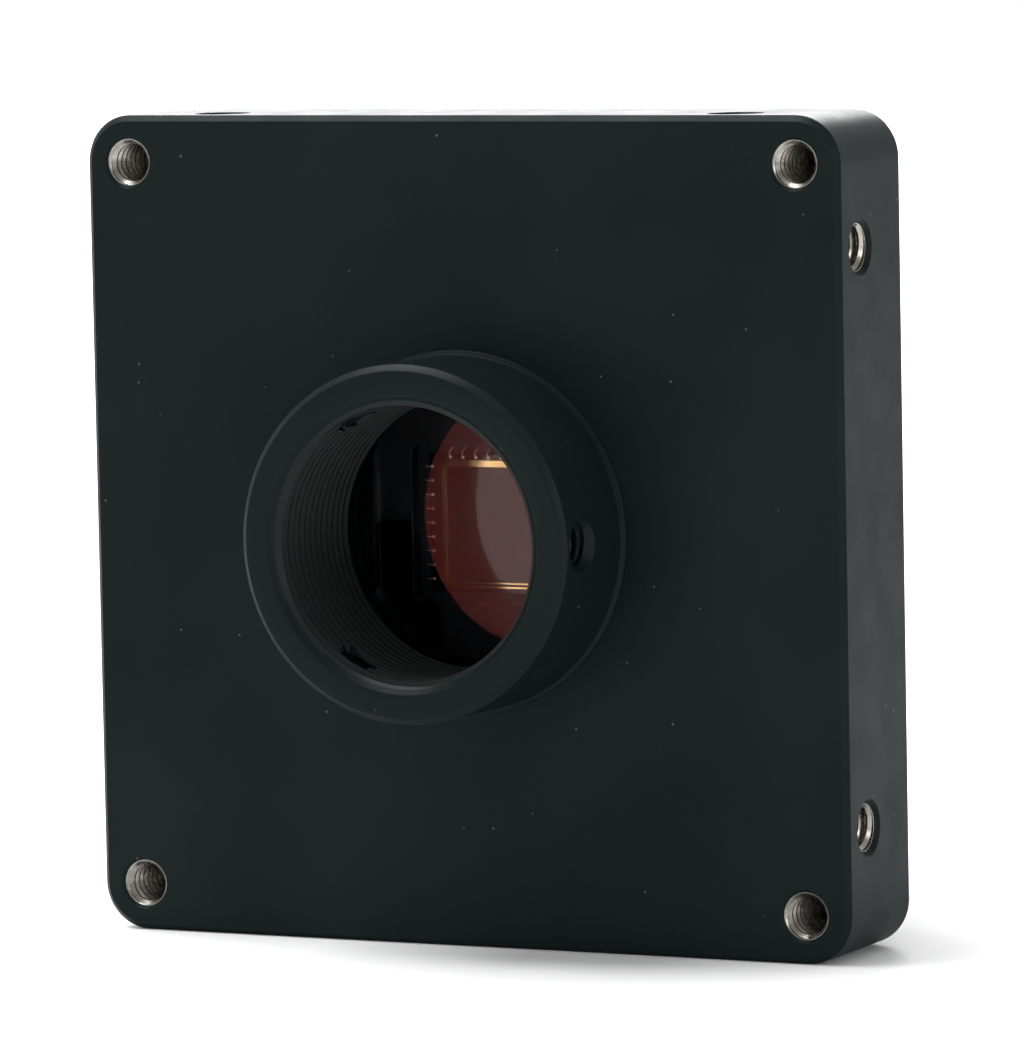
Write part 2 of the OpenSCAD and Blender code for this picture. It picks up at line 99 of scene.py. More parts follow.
def set_range(node, start, end, low, high):
    """Makes a Map Range node map start..end to low..high."""
    for socket, number in (("From Min", start), ("From Max", end), ("To Min", low), ("To Max", high)):
        node.inputs[socket].default_value = number


class Look:
    """A procedural material whose textures are placed in millimetres."""

    def __init__(self, name, color, rough, metal=0.0, level=0.5, ior=1.5):
        self.name = name
        self.mat = bpy.data.materials.new(name)
        self.mat.use_nodes = True
        self.tree = self.mat.node_tree
        self.shader = self.tree.nodes["Principled BSDF"]
        self.color = (*color, 1)
        self.set("Base Color", self.color)
        self.set("Roughness", rough)
        self.set("Metallic", metal)
        self.set("Specular IOR Level", level)
        self.set("IOR", ior)
        coords = self.tree.nodes.new("ShaderNodeTexCoord")
        self.place = self.stretch(coords.outputs["Object"], (1 / MM, 1 / MM, 1 / MM))
        self.height = None

    def set(self, socket, value):
        self.shader.inputs[socket].default_value = value
        return self

    def stretch(self, vector, scale):
        node = self.tree.nodes.new("ShaderNodeVectorMath")
        node.operation = "MULTIPLY"
        self.tree.links.new(vector, node.inputs[0])
        node.inputs[1].default_value = scale
        return node.outputs[0]

    def noise(self, scale, detail=2.0, stretch=(1, 1, 1)):
        """Noise from 0 to 1 with about that many grains in a millimetre."""
        node = self.tree.nodes.new("ShaderNodeTexNoise")
        self.tree.links.new(self.stretch(self.place, stretch), node.inputs["Vector"])
        node.inputs["Scale"].default_value = scale
        node.inputs["Detail"].default_value = detail
        return node.outputs["Fac"]

    def specks(self, scale, radius):
        """1 in small scattered dots, and 0 elsewhere. The radius is in cells."""
        node = self.tree.nodes.new("ShaderNodeTexVoronoi")
        self.tree.links.new(self.place, node.inputs["Vector"])
        node.inputs["Scale"].default_value = scale
        return self.steps(node.outputs["Distance"], radius, 0.5 * radius)

    def rings(self, scale):
        """Fine circles round the lens axis, as a lathe leaves them."""
        node = self.tree.nodes.new("ShaderNodeTexWave")
        node.wave_type, node.rings_direction = "RINGS", "Y"
        self.tree.links.new(self.place, node.inputs["Vector"])
        node.inputs["Scale"].default_value = scale
        node.inputs["Distortion"].default_value = 0.6
        node.inputs["Detail"].default_value = 2
        return node.outputs["Fac"]

    def steps(self, value, start, end, low=0.0, high=1.0):
        """Maps a value from the range start..end to low..high."""
        node = self.tree.nodes.new("ShaderNodeMapRange")
        self.tree.links.new(value, node.inputs["Value"])
        set_range(node, start, end, low, high)
        return node.outputs["Result"]

    def blend(self, mask, first, second):
        """A colour that goes from first, at mask 0, to second. Each is a colour or an output."""
        node = self.tree.nodes.new("ShaderNodeMix")
        node.data_type = "RGBA"
        self.tree.links.new(mask, node.inputs["Factor"])
        for socket, value in (("A", first), ("B", second)):
            target = [s for s in node.inputs if s.name == socket and s.type == "RGBA"][0]
            if isinstance(value, bpy.types.NodeSocket):
                self.tree.links.new(value, target)
            else:
                target.default_value = (*value[:3], 1)
        return [s for s in node.outputs if s.type == "RGBA"][0]

    def mottle(self, scale, other, detail=3.0):
        """Lets the colour drift towards another one in soft clouds."""
        cloud_edge, cloud_core = 0.35, 0.65
        return self.paint(self.steps(self.noise(scale, detail), cloud_edge, cloud_core), other)

    def paint(self, mask, other):
        """Lays another colour over the present one where the mask is 1."""
        socket = self.shader.inputs["Base Color"]
        below = socket.links[0].from_socket if socket.is_linked else self.color
        self.tree.links.new(self.blend(mask, below, other), socket)
        return self

    def roughen(self, scale, low, high, detail=2.0, stretch=(1, 1, 1)):
        """Lets the roughness wander between two values."""
        mask = self.noise(scale, detail, stretch)
        self.tree.links.new(self.steps(mask, 0.3, 0.7, low, high), self.shader.inputs["Roughness"])
        return self

    def bump(self, source, depth):
        """Adds relief of that depth in millimetres."""
        node = self.tree.nodes.new("ShaderNodeBump")
        node.inputs["Strength"].default_value = 1
        node.inputs["Distance"].default_value = depth * MM
        self.tree.links.new(source, node.inputs["Height"])
        if self.height:
            self.tree.links.new(self.height, node.inputs["Normal"])
        self.height = node.outputs["Normal"]
        self.tree.links.new(self.height, self.shader.inputs["Normal"])
        return self


def anodised(name, color, lift, rough, grain):
    """Black anodised aluminium over a blasted or turned surface, with a little dust."""
    look = Look(name, color, rough, level=lift)
    look.mottle(0.12, [c * 1.35 for c in color], detail=5)
    look.roughen(0.5, rough - 0.04, rough + 0.05, detail=4)
    look.bump(look.noise(14, detail=3), grain)
    return look.paint(look.specks(0.7, 0.045), (0.09, 0.1, 0.1))


def housing_look():
    return anodised("anodised_housing", (0.0052, 0.0094, 0.0094), 0.06, 0.43, 0.004)


def ring_look():
    look = anodised("anodised_ring", (0.0046, 0.0080, 0.0080), 0.07, 0.38, 0.0015)
    return look.bump(look.rings(9), 0.0012)


def cover_look():
    return anodised("anodised_cover", (0.0052, 0.0078, 0.008), 0.08, 0.4, 0.004)


def bare_look():
    """Aluminium with the fine lines that milling leaves along it."""
    look = Look("bare_aluminium", (0.4, 0.397, 0.388), 0.4, metal=1)
    look.mottle(0.3, (0.34, 0.337, 0.328), detail=4)
    look.roughen(9, 0.36, 0.46, stretch=(1, 1, 0.12))
    return look.bump(look.noise(22, detail=2, stretch=(1, 1, 0.1)), 0.0003)


def thread_look():
    """Uneven bare metal of a thread that was cut after the anodising."""
    look = Look("cut_thread", (0.36, 0.345, 0.31), 0.26, metal=1)
    look.mottle(1.5, (0.22, 0.205, 0.18), detail=4)
    look.roughen(4, 0.18, 0.36)
    return look.bump(look.noise(16, detail=3), 0.002)


def metal_look(name, color, dull, rough, grain=0.001, scale=8):
    """Plain machined or plated metal."""
    look = Look(name, color, rough, metal=1)
    look.mottle(0.9, dull, detail=4)
    look.roughen(3, rough * 0.8, rough * 1.35, detail=3)
    return look.bump(look.noise(scale, detail=3), grain)


def matt_look(name, color, other, rough, grain, scale, level=0.4):
    """Moulded, cast or printed matter that doesn't shine like metal."""
    look = Look(name, color, rough, level=level)
    look.mottle(0.8, other, detail=4)
    look.roughen(2.5, max(0.05, rough - 0.08), min(1, rough + 0.08), detail=3)
    return look.bump(look.noise(scale, detail=3), grain)


def board_look():
    """Dark solder mask over faint copper tracks."""
    look = Look("board_laminate", (0.004, 0.016, 0.011), 0.3)
    tracks = look.tree.nodes.new("ShaderNodeTexBrick")
    look.tree.links.new(look.place, tracks.inputs["Vector"])
    tracks.inputs["Scale"].default_value = 0.9
    tracks.inputs["Mortar Size"].default_value = 0.05
    look.paint(tracks.outputs["Fac"], (0.009, 0.03, 0.02))
    look.mottle(2, (0.003, 0.012, 0.008))
    return look.bump(tracks.outputs["Fac"], 0.02)


LEAD_SPLIT = sum(corner.y for corner in node_box("fan_leads")) / 2


def lead_look():
    """Insulation of a pair of leads: red above the height between them and black below it."""
    look = Look("lead_insulation", (0.35, 0.012, 0.01), 0.42)
    parts = look.tree.nodes.new("ShaderNodeSeparateXYZ")
    look.tree.links.new(look.place, parts.inputs[0])
    side = look.tree.nodes.new("ShaderNodeMath")
    side.operation = "LESS_THAN"
    look.tree.links.new(parts.outputs["Z"], side.inputs[0])
    side.inputs[1].default_value = LEAD_SPLIT
    look.paint(side.outputs[0], (0.01, 0.01, 0.011))
    look.roughen(2, 0.34, 0.5)
    return look.bump(look.noise(6), 0.004)


def glass_look(name, color, reflected):
    """Clear glass whose coating leaves that share of the red, green and blue it would reflect."""
    look = Look(name, color, 0.0, ior=1.52)
    return look.set("Transmission Weight", 1).set("Specular Tint", (*reflected, 1))


def die_look():
    """Polished silicon under its microlenses."""
    look = Look("silicon", (0.004, 0.0035, 0.0035), 0.08, level=0.46)
    look.set("Specular Tint", (1.0, 0.74, 0.6, 1))
    look.mottle(3, (0.006, 0.004, 0.005))
    return look.roughen(6, 0.04, 0.06)


CLEAR = (0.93, 0.96, 1.0)
LOOKS = {look.name: look for look in (
    housing_look(),
    ring_look(),
    cover_look(),
    bare_look(),
    thread_look(),
    anodised("anodised_thread", (0.0105, 0.0135, 0.013), 0.08, 0.32, 0.001),
    metal_look("black_steel", (0.022, 0.022, 0.024), (0.04, 0.038, 0.036), 0.34),
    metal_look("bright_steel", (0.6, 0.585, 0.56), (0.45, 0.44, 0.43), 0.2),
    metal_look("polished_steel", (0.7, 0.69, 0.67), (0.6, 0.59, 0.58), 0.08, 0.0004),
    metal_look("socket_steel", (0.46, 0.453, 0.44), (0.36, 0.353, 0.345), 0.22),
    matt_look("black_rubber", (0.008, 0.008, 0.008), (0.014, 0.014, 0.014), 0.7, 0.01, 6),
    matt_look("grey_silicone", (0.3, 0.31, 0.32), (0.24, 0.25, 0.26), 0.6, 0.006, 5),
    matt_look("insulation_foam", (0.05, 0.05, 0.055), (0.09, 0.09, 0.1), 0.9, 0.05, 3),
    glass_look("filter_glass", CLEAR, (0.02, 0.02, 0.02)),
    glass_look("filter_coating", (0.96, 0.97, 1.0), (0.5, 0.065, 0.045)),
    glass_look("lid_glass", CLEAR, (0.02, 0.02, 0.02)),
    matt_look("package_ceramic", (0.011, 0.021, 0.024), (0.013, 0.022, 0.025), 0.42, 0.004, 9, 0.25),
    die_look(),
    metal_look("gold", (1.0, 0.8, 0.5), (0.9, 0.66, 0.36), 0.32, 0.0005, 20),
    metal_look("bus_metal", (0.8, 0.46, 0.18), (0.62, 0.34, 0.12), 0.1, 0.0002, 25),
    board_look(),
    matt_look("chip_epoxy", (0.012, 0.012, 0.013), (0.018, 0.018, 0.018), 0.55, 0.006, 7),
    matt_look("ferrite", (0.03, 0.03, 0.032), (0.05, 0.05, 0.05), 0.5, 0.01, 5),
    matt_look("capacitor_ceramic", (0.3, 0.2, 0.12), (0.24, 0.16, 0.1), 0.4, 0.003, 6),
    matt_look("header_plastic", (0.7, 0.66, 0.55), (0.62, 0.58, 0.48), 0.45, 0.003, 6),
    matt_look("black_plastic", (0.011, 0.0115, 0.012), (0.015, 0.0155, 0.016), 0.42, 0.006, 8),
    metal_look("copper", (0.86, 0.42, 0.24), (0.6, 0.26, 0.14), 0.3),
    matt_look("white_ceramic", (0.78, 0.78, 0.75), (0.7, 0.7, 0.68), 0.5, 0.003, 6),
    metal_look("pellet_alloy", (0.3, 0.3, 0.33), (0.22, 0.22, 0.24), 0.35),
    metal_look("bronze", (0.62, 0.42, 0.2), (0.48, 0.3, 0.14), 0.35),
    matt_look("magnet", (0.03, 0.03, 0.032), (0.045, 0.045, 0.048), 0.6, 0.008, 6),
    lead_look(),
)}


# ---- mesh helpers ----


def revolve(bm, profile, segments=64, six=()):
    """Closed solid turned round the Z axis from a closed outline of (radius, height) points.

    The points whose numbers are in six follow a hexagon, which has that radius across its corners.
    """
    columns = []
    for i in range(segments):
        a = TAU * i / segments
        flat = math.cos(TAU / 12) / math.cos((a + TAU / 12) % (TAU / 6) - TAU / 12)
        column = []
        for k, (r, z) in enumerate(profile):
            reach = r * flat if k in six else r
            column.append(bm.verts.new((reach * math.cos(a), reach * math.sin(a), z)))
        columns.append(column)
    skin(bm, columns)


def skin(bm, columns, shift=0, last=None):
    """Joins neighbouring columns of points into faces, round the axis and round the outline.

    With a shift, the last column meets the first one that many points further on, as a thread has
    climbed by one turn there. The points after the one numbered last stay level.
    """
    count, rows = len(columns), len(columns[0])
    for i in range(count):
        here, there = columns[i], columns[(i + 1) % count]
        for k in range(rows):
            around = [here[k], here[(k + 1) % rows]]
            for j in (k + 1, k):
                j %= rows
                if shift and i == count - 1 and j <= last:
                    j = min(j + shift, last)
                around.append(there[j])
            if len(set(around)) > 2:
                bm.faces.new(dict.fromkeys(around))
    if shift:
        start = columns[0]
        bm.faces.new([start[-1], start[0], start[shift]])


def weld(bm):
    """Joins points that coincide and turns all faces outwards."""
    bmesh.ops.remove_doubles(bm, verts=bm.verts, dist=1e-5)
    bmesh.ops.recalc_face_normals(bm, faces=bm.faces)


# Shares of a pitch at which a thread's outline leaves the major radius, meets and leaves the minor
# one, and meets the major radius again
THREAD_MARKS = (0.06, 0.375, 0.625, 0.94)


def threaded(bm, major, minor, pitch, low, high, rest, bore=True, segments=96):
    """Solid with a right-hand thread from height low to high, closed by the rest of its outline.

    rest runs from the thread's high end round to its low end. A bore's mouths open to the major
    radius, and a rod's ends narrow to the minor one.
    """
    turns = math.ceil((high - low) / pitch) + 3
    radii = (major, minor, minor, major)
    marks = [(t + m, r) for t in range(turns) for m, r in zip(THREAD_MARKS, radii)]
    columns = []
    for i in range(segments):
        part = i / segments
        c, s = math.cos(TAU * part), math.sin(TAU * part)
        outline = []
        for turn, r in marks:
            z = min(max(low + (turn - 1 + part) * pitch, low), high)
            gap = min(z - low, high - z)
            r = max(r, major - gap) if bore else min(r, minor + gap)
            outline.append((r, z))
        columns.append([bm.verts.new((r * c, r * s, z)) for r, z in outline + rest])
    skin(bm, columns, shift=len(THREAD_MARKS), last=len(marks) - 1)


def rounded(points, radius, steps=3):
    """Rounds each corner of an open outline, its two ends apart."""
    out = [points[0]]
    for before, corner, after in zip(points, points[1:], points[2:]):
        b, c, a = Vector(before), Vector(corner), Vector(after)
        r = min(radius, (b - c).length / 2, (a - c).length / 2)
        start, end = c + (b - c).normalized() * r, c + (a - c).normalized() * r
        for k in range(steps + 1):
            t = k / steps
            out.append(tuple(start * (1 - t) ** 2 + c * 2 * t * (1 - t) + end * t * t))
    return out + [points[-1]]


def tube(bm, points, radius, sides=10):
    """Round closed tube along a list of points."""
    rings = []
    for k, p in enumerate(points):
        along = (points[min(k + 1, len(points) - 1)] - points[max(k - 1, 0)]).normalized()
        turn = along.to_track_quat("Z", "Y").to_matrix()
        angles = [TAU * s / sides for s in range(sides)]
        rings.append([
            bm.verts.new(p + turn @ Vector((radius * math.cos(a), radius * math.sin(a), 0))) for a in angles
        ])
    for a, b in zip(rings, rings[1:]):
        for s in range(sides):
            bm.faces.new([a[s], a[(s + 1) % sides], b[(s + 1) % sides], b[s]])
    bm.faces.new(rings[0])
    bm.faces.new(rings[-1])


def slab(bm, lo, hi, bevel=0.0):
    """Block between two corners, with all its edges bevelled."""
    lo, hi = Vector(lo), Vector(hi)
    made = bmesh.ops.create_cube(bm, size=1)["verts"]
    for v in made:
        v.co = (lo + hi) / 2 + Vector(v.co[k] * (hi - lo)[k] for k in range(3))
    if bevel:
        edges = {e for v in made for e in v.link_edges}
        bmesh.ops.bevel(bm, geom=list(edges), offset=bevel, segments=2, affect="EDGES", profile=0.5)


def move(bm, start, matrix):
    """Moves the points made since the mesh had start of them."""
    bm.verts.ensure_lookup_table()
    bmesh.ops.transform(bm, matrix=matrix, verts=bm.verts[start:])


def piece(name, bm, look, body=BODY, stands_for=(), smooth=SMOOTH_ANGLE, even=False):
    """Finishes a mesh drawn in the lens frame: its material, shading and body, and hides the CAD nodes that
    it stands for.
    """
    mesh = bpy.data.meshes.new(name)
    bm.to_mesh(mesh)
    bm.free()
    mesh.transform(TO_FRAME)
    obj = bpy.data.objects.new(name, mesh)
    bpy.context.scene.collection.objects.link(obj)
    obj.data.materials.append(LOOKS[look].mat)
    shade(obj, smooth)
    if even:
        even_normals(obj)
    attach(obj, body)
    if stands_for:
        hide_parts(*stands_for)
    return obj


def shade(obj, smooth):
    """Smooth shading, broken at edges sharper than that many degrees."""
    obj.data.shade_smooth()
    obj.data.set_sharp_from_angle(angle=math.radians(smooth))


def even_normals(obj):
    """Lets each flat face keep its own shading right up to the rounded edges beside it."""
    modifier = obj.modifiers.new("normals", "WEIGHTED_NORMAL")
    modifier.keep_sharp = True


def corners(x, y):
    """The four points that lie that far to either side of the axis."""
    return [(sx * x, sy * y) for sx in (-1, 1) for sy in (-1, 1)]


# ---- the CAD nodes that stay ----

for node, obj in frame["nodes"].items():
    for material in obj.material_slots:
        material.material = LOOKS[material.material.name.split(".")[0]].mat


# ---- lens ring ----

LOCK_ANGLES = {"right": 0, "upper": 120, "lower": 240}
ring_lo, ring_hi = node_box("lens_ring")
ring_h, thread_low = ring_hi.z, ring_lo.z
foot_r = ring_hi.x
ring_r = 7.5
spigot_r = 7.0
thread_r = 6.0
thread_minor = thread_r - 0.271
thread_pitch = 0.5
lead_in = 0.23
ring_bevel = 0.28
ring_rounding = 0.06
foot_h = 0.22
foot_side = 0.6 * foot_h
lock_at = ring_h - 1.7
lock_r = 1.0
lock_minor = 0.84
hole_pitch = 0.4
countersink = 0.2
# How far the cutter of a lock screw's hole reaches past the ring's outside and past the lens thread
past_face = 0.3
past_thread = 1.0


def lock_place(angle):
    """Puts a shape drawn up the Z axis on a lock screw's axis, its zero on the ring's outside."""
    return (Matrix.Rotation(math.radians(angle), 4, "Z") @ Matrix.Translation((ring_r, 0, lock_at))
            @ Matrix.Rotation(math.radians(90), 4, "Y"))


def lens_ring():
    """Ring with its lens thread, which the lock screws' tapped holes are cut through."""
    bm = bmesh.new()
    high = ring_h - lead_in
    outside = rounded([
        (thread_r, high), (thread_r + lead_in, ring_h), (ring_r - ring_bevel, ring_h),
        (ring_r, ring_h - ring_bevel), (ring_r, foot_h), (foot_r, foot_side), (foot_r, 0),
        (spigot_r, 0), (spigot_r, thread_low), (thread_r, thread_low),
    ], ring_rounding)
    threaded(bm, thread_r, thread_minor, thread_pitch, thread_low, high, outside[1:-1], segments=192)
    weld(bm)
    for face in bm.faces:
        in_thread = math.hypot(*face.calc_center_median().xy) < thread_r - 0.02
        face.material_index = int(in_thread)
    ring = piece("lens_ring_threaded", bm, "anodised_ring", stands_for=["lens_ring"])
    ring.data.materials.append(LOOKS["anodised_thread"].mat)

    cutter = bmesh.new()
    for angle in LOCK_ANGLES.values():
        start = len(cutter.verts)
        deep = thread_r - past_thread - ring_r
        mouth = [(lock_r + countersink + past_face, past_face), (0, past_face), (0, deep)]
        threaded(cutter, lock_r, lock_minor, hole_pitch, deep, -countersink, mouth, segments=64)
        move(cutter, start, lock_place(angle))
    weld(cutter)
    cut(ring, cutter)


def cut(obj, bm):
    """Takes the mesh out of the object, which is drawn in the part's frame."""
    mesh = bpy.data.meshes.new("cutter")
    bm.to_mesh(mesh)
    bm.free()
    mesh.transform(TO_FRAME)
    tool = bpy.data.objects.new("cutter", mesh)
    bpy.context.scene.collection.objects.link(tool)
    modifier = obj.modifiers.new("cut", "BOOLEAN")
    modifier.operation, modifier.solver, modifier.object = "DIFFERENCE", "EXACT", tool
    bpy.context.view_layer.update()
    done = bpy.data.meshes.new_from_object(obj.evaluated_get(bpy.context.evaluated_depsgraph_get()))
    obj.modifiers.clear()
    bpy.data.objects.remove(tool)
    bm = bmesh.new()
    bm.from_mesh(done)
    bmesh.ops.dissolve_degenerate(bm, dist=1e-6, edges=bm.edges)
    bmesh.ops.triangulate(bm, faces=[face for face in bm.faces if len(face.verts) > 4])
    bm.to_mesh(done)
    bm.free()
    obj.data = done
    shade(obj, SMOOTH_ANGLE)


def lock_screw(name, angle):
    """Headless screw: a fine thread, a chamfered tip and a round drive socket."""
    bm = bmesh.new()
    outer, inner = -0.8, -1.4
    screw_r, screw_minor, screw_pitch = 0.8, 0.68, 0.25
    rim_r, tip_r = 0.66, 0.55
    rim_chamfer, tip_chamfer = 0.06, 0.12
    socket_r, socket_edge, socket_deep, drill_deep = 0.52, 0.04, 0.5, 0.62
    rest = [
        (rim_r, outer), (socket_r + socket_edge, outer), (socket_r, outer - socket_edge),
        (socket_r, outer - socket_deep), (0, outer - drill_deep), (0, inner), (tip_r, inner),
    ]
    threaded(bm, screw_r, screw_minor, screw_pitch, inner + tip_chamfer, outer - rim_chamfer, rest,
             bore=False, segments=60)
    weld(bm)
    move(bm, 0, lock_place(angle))
    node = f"lock_screw_{name}"
    piece(f"{node}_threaded", bm, "black_steel", body=node, stands_for=[node])


# ---- threads of the mounting holes ----

hole_r = 1.0
hole_minor = 0.82
housing_half = node_box("front_housing")[1].x
corner_inset = 2
corner_at = housing_half - corner_inset
corner_depth, corner_mouth = 4.5, 0.12
side_at, side_z = 12, -2.1
side_depth, side_mouth = 3, 0.2


def tapped(bm, depth, mouth):
    """Bare metal of a tapped blind hole, drawn down from a face at z = 0."""
    wall_r, root_r = hole_r - 0.004, hole_r - 0.03
    floor = -depth + 0.02
    floor_top, cone_top, thread_end = floor + 0.05, floor + 0.3, floor + 0.32
    rest = [(wall_r, -mouth), (wall_r, floor), (0, floor), (0, floor_top), (hole_minor, cone_top)]
    threaded(bm, root_r, hole_minor, hole_pitch, thread_end, -mouth - 0.01, rest, segments=48)


def corner_threads():
    """Bare threads of the four holes in the front face."""
    bm = bmesh.new()
    for x, y in corners(corner_at, corner_at):
        start = len(bm.verts)
        tapped(bm, corner_depth, corner_mouth)
        move(bm, start, Matrix.Translation((x, y, 0)) @ Matrix.Rotation(x + y, 4, "Z"))
    weld(bm)
    piece("corner_threads", bm, "cut_thread")


def side_threads():
    """Bare threads of the two holes in each side of the housing."""
    bm = bmesh.new()
    outwards = Matrix.Rotation(math.radians(90), 4, "Y")
    for side in range(4):
        turn = Matrix.Rotation(math.radians(90 * side), 4, "Z")
        for along in (-side_at, side_at):
            start = len(bm.verts)
            tapped(bm, side_depth, side_mouth)
            move(bm, start, turn @ Matrix.Translation((housing_half, along, side_z)) @ outwards)
    weld(bm)
    piece("side_threads", bm, "cut_thread")


# ---- window and sensor ----


def filter_disc():
    """Window with ground edges. Its front carries the coating that reflects red."""
    lo, hi = node_box("ir_cut_filter")
    r, edge = hi.x, 0.12
    bm = bmesh.new()
    revolve(bm, [
        (0, hi.z), (r - edge, hi.z), (r, hi.z - edge), (r, lo.z + edge), (r - edge, lo.z), (0, lo.z),
    ], 96)
    weld(bm)
    disc = piece("ir_cut_filter_coated", bm, "filter_glass", stands_for=["ir_cut_filter"])
    disc.data.materials.append(LOOKS["filter_coating"].mat)
    for face in disc.data.polygons:
        if face.normal.y < -0.9:
            face.material_index = 1


def sensor_lid():
    """Cover glass of the sensor, with broken edges."""
    lo, hi = node_box("sensor_lid")
    bm = bmesh.new()
    slab(bm, lo, hi, 0.03)
    piece("sensor_lid_glass", bm, "lid_glass", stands_for=["sensor_lid"])


def sensor_package():
    """Package whose outside and cavity have a fine rounded rim."""
    top = node_box("sensor_package")[1].z

    def rim(p):
        return abs(p.z - top) < NEAR

    softened("sensor_package", "package_ceramic", 0.05, rim)


# Left, right, lower and upper edge of each metal line that frames the pixel field
BUS_LINES = (
    (-2.82, -2.62, -2.5, 2.45),
    (2.68, 2.8, -2.4, 2.3),
    (-2.6, 2.75, 2.42, 2.7),
    (-2.6, 2.75, -2.56, -2.5),
    (-2.6, 2.75, -2.74, -2.66),
)


def sensor_die():
    """Silicon with its pixel field, the metal lines round it and the rows of pads."""
    lo, hi = node_box("sensor_die")
    bm = bmesh.new()
    slab(bm, lo, hi, 0.02)
    piece("sensor_die_silicon", bm, "silicon", stands_for=["sensor_die"])
    bus_t, bus_edge = 0.012, 0.004
    bm = bmesh.new()
    for x0, x1, y0, y1 in BUS_LINES:
        slab(bm, (x0, y0, hi.z), (x1, y1, hi.z + bus_t), bus_edge)
    piece("sensor_bus_lines", bm, "bus_metal")
    pad_half, pad_t = 0.06, 0.006
    bm = bmesh.new()
    for edge, turn in bond_places():
        at = edge + turn @ Vector((PAD_INSET, 0, 0))
        slab(bm, (at.x - pad_half, at.y - pad_half, hi.z), (at.x + pad_half, at.y + pad_half, hi.z + pad_t))
    piece("sensor_pads", bm, "gold")


BOND_COUNT = 9
BOND_PITCH = 0.6
PAD_INSET = 0.13


def bond_places():
    """Where each bond wire crosses the die's edge, and the turn that takes +X inwards there.

    The wires stand along both sides and the top. None is at the bottom.
    """
    reach = node_box("sensor_die")[1]
    places = []
    for side in (0, 2, 3):
        turn = Matrix.Rotation(side * TAU / 4, 3, "Z")
        for i in range(BOND_COUNT):
            along = (i - (BOND_COUNT - 1) / 2) * BOND_PITCH
            places.append((turn @ Vector((-reach[side % 2], -along, 0)), turn))
    return places


def bond_wires():
    """Looped wires from the package's floor up to the die's pads, each pressed flat at its end."""
    lo, hi = node_box("bond_wires")
    top = node_box("sensor_die")[1].z
    outside, run, steps = 0.28, 0.42, 8
    wire_r, ball_r, ball_flat = 0.014, 0.038, 0.6
    low, high, lift = lo.z + 0.02, top + 0.01, hi.z - top + 0.12
    bm = bmesh.new()
    for edge, turn in bond_places():
        points = []
        for k in range(steps + 1):
            t = k / steps
            z = low * (1 - t) + high * t + lift * math.sin(math.pi * t)
            p = edge + turn @ Vector((run * t - outside, 0, 0))
            points.append(Vector((p.x, p.y, min(z, hi.z - 0.02))))
        tube(bm, points, wire_r, 8)
        start = len(bm.verts)
        bmesh.ops.create_uvsphere(bm, u_segments=10, v_segments=6, radius=ball_r)
        move(bm, start, Matrix.Translation(points[-1]) @ Matrix.Diagonal((1, 1, ball_flat, 1)))
    weld(bm)
    piece("bond_wires_looped", bm, "gold", stands_for=["bond_wires"])


# ---- screws behind the housing ----


def cap_screws(node, look, x_at, y_at, head_h):
    """Cap screws seen from behind: round-edged heads with hexagon sockets, each turned its own way."""
    lo, hi = node_box(node)
    seat = lo.z + head_h
    length, top = hi.z - seat, -head_h
    head_r, head_edge = 1.45, 0.16
    socket_r, socket_floor, drill_deep = 0.5 * head_r, top + 0.6 * head_h, 0.1
    chamfer_w, chamfer_deep = 0.06, 0.05
    shank_r, tip = 0.75, 0.15
    outline = rounded([(socket_r + chamfer_w, top), (head_r, top), (head_r, 0)], head_edge, 4)
    profile = [(0, socket_floor + drill_deep), (socket_r, socket_floor), (socket_r, top + chamfer_deep)]
    profile += outline
    profile += [(shank_r, 0), (shank_r, length - tip), (shank_r - tip, length), (0, length)]
    bm = bmesh.new()
    for x, y in corners(x_at, y_at):
        start = len(bm.verts)
        revolve(bm, profile, 48, six=(1, 2))
        turn = Matrix.Rotation(x * 1.7 + y, 4, "Z")
        move(bm, start, Matrix.Translation((x, y, seat)) @ turn)
    weld(bm)
    piece(f"{node}_socketed", bm, look, stands_for=[node])


def softened(node, look, width, where, steps=2):
    """A CAD node's mesh with the edges that where() picks by their middle rounded off."""
    obj = frame["nodes"][node]
    bm = bmesh.new()
    bm.from_mesh(obj.data)
    bm.transform(TO_FRAME.inverted())
    bmesh.ops.remove_doubles(bm, verts=bm.verts, dist=1e-4)
    bmesh.ops.dissolve_limit(bm, angle_limit=math.radians(0.5), verts=bm.verts, edges=bm.edges)
    picked = []
    for edge in bm.edges:
        middle = (edge.verts[0].co + edge.verts[1].co) / 2
        if edge.is_convex and edge.calc_face_angle(0) > math.radians(60) and where(middle):
            picked.append(edge)
    bmesh.ops.bevel(bm, geom=picked, offset=width, segments=steps, affect="EDGES", profile=0.5,
                    clamp_overlap=True)
    bmesh.ops.recalc_face_normals(bm, faces=bm.faces)
    return piece(f"{node}_softened", bm, look, body=obj["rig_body"], stands_for=[node],
                 smooth=32, even=True)


# ---- fan ----


DUCT_R = 9.4


def fan_frame():
    """Frame whose outer edges and duct are rounded at both of its ends."""
    lo, hi = node_box("fan_frame")
    outer = hi.x - 0.55

    def outer_or_duct(p):
        at_end = min(abs(p.z - lo.z), abs(p.z - hi.z)) < NEAR
        at_duct = abs(math.hypot(p.x, p.y) - DUCT_R) < 0.05
        return at_end and (max(abs(p.x), abs(p.y)) > outer or at_duct)

    softened("fan_frame", "black_plastic", 0.18, outer_or_duct, 3)


def heat_sink():
    """Heat sink whose outside and fin ends have broken edges."""
    lo, hi = node_box("heat_sink")

    def outside(p):
        return max(abs(p.x) - hi.x, abs(p.y) - hi.y) > -NEAR or abs(p.z - lo.z) < NEAR

    softened("heat_sink", "bare_aluminium", 0.06, outside)


BLADE_COUNT = 7


